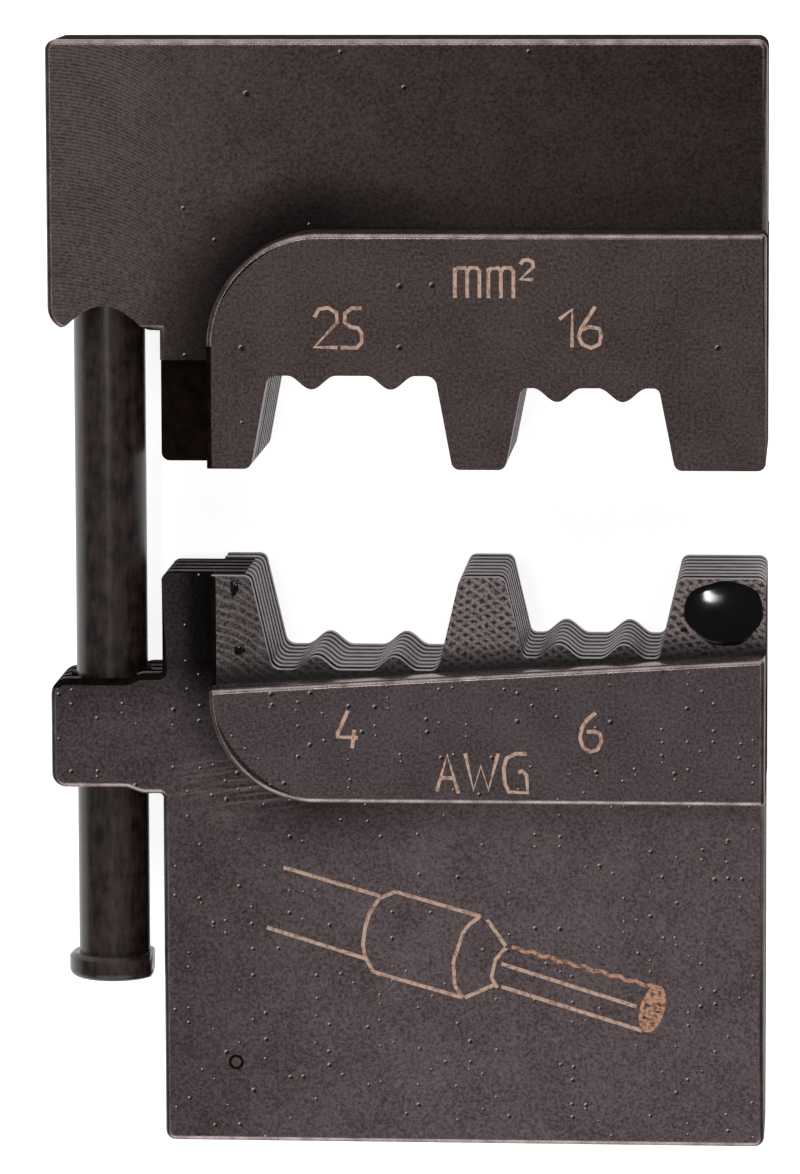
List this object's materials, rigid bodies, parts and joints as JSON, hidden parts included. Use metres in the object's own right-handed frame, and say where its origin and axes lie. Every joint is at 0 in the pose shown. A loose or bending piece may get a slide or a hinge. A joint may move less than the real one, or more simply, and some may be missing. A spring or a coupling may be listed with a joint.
{
  "type": "ferrule crimp die",
  "caption": "Blackened steel crimp die set: two comb-toothed halves with a wide and a narrow ferrule nest, closing along a headed guide pin.",
  "frame": {"origin": "centre of the bounding box, on the plane of the back bosses that the set lies on", "axes": "+Y from the lower half towards the upper half, along the guide pin; +Z out of the marked front; +X to the right seen from the front, away from the pin"},
  "size_m": [0.0344, 0.0534, 0.0105],
  "materials": {
    "upper_steel": "black oxide, satin, worn bright on the edges",
    "lower_steel": "black oxide, satin, worn bright on the edges",
    "pin_steel": "black oxide on a ground pin, semi-gloss"
  },
  "bodies": {
    "upper": {"upper_die": "upper_steel", "guide_pin": "pin_steel"},
    "lower": {"lower_die": "lower_steel"}
  },
  "joints": [
    {"name": "die_slide", "type": "slide", "parent": "upper", "child": "lower", "axis": [0, 1, 0], "range_m": [-0.008, 0.0088]}
  ]
}
